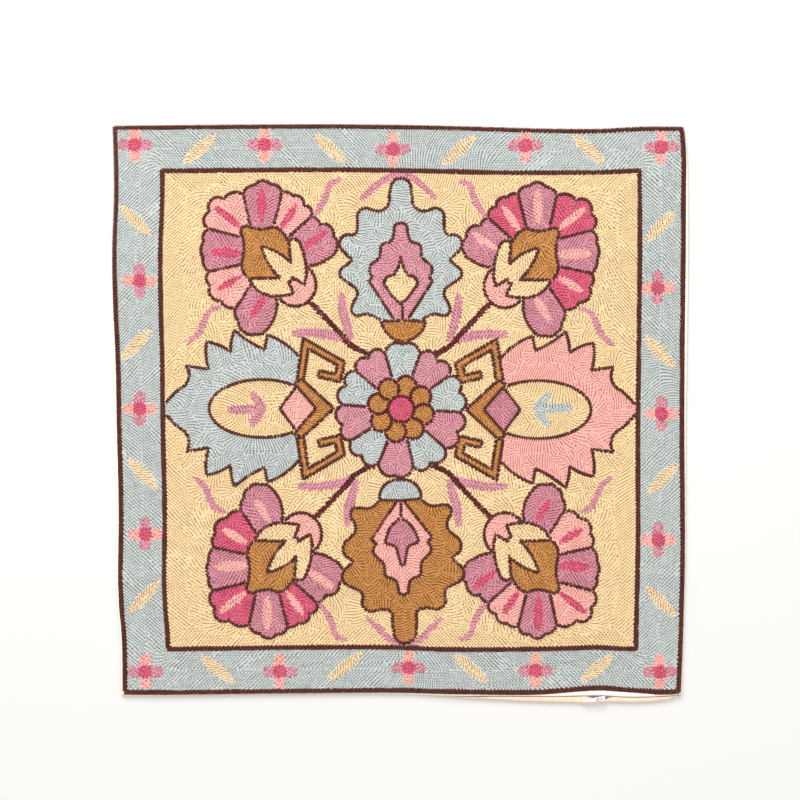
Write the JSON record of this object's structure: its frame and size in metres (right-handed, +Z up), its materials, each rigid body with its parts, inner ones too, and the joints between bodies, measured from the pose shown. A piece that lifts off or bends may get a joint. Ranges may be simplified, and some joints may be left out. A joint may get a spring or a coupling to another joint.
{
  "type": "cushion cover",
  "caption": "Flat empty square cushion cover with a chain-stitch embroidered front, a plain cotton back and a zip along its lower side.",
  "frame": {"origin": "middle of the cover's box, at the surface that it lies on", "axes": "+Z up out of the embroidered face, +Y towards the side opposite the zip, +X to the right seen from above"},
  "size_m": [0.4579, 0.461, 0.0072],
  "materials": {
    "embroidered_front": "dense wool chain stitch on cotton, matt, with a ridge along each row",
    "cotton_back": "plain woven cotton, matt",
    "zip_coil": "nylon coil, satin",
    "slider_metal": "nickel plated zinc, polished",
    "pull_enamel": "pale enamel, satin"
  },
  "bodies": {
    "root": {"front_panel": "embroidered_front", "back_panel": "cotton_back", "zip_chain": "zip_coil", "zip_slider": "slider_metal", "zip_pull": "pull_enamel"}
  },
  "joints": []
}
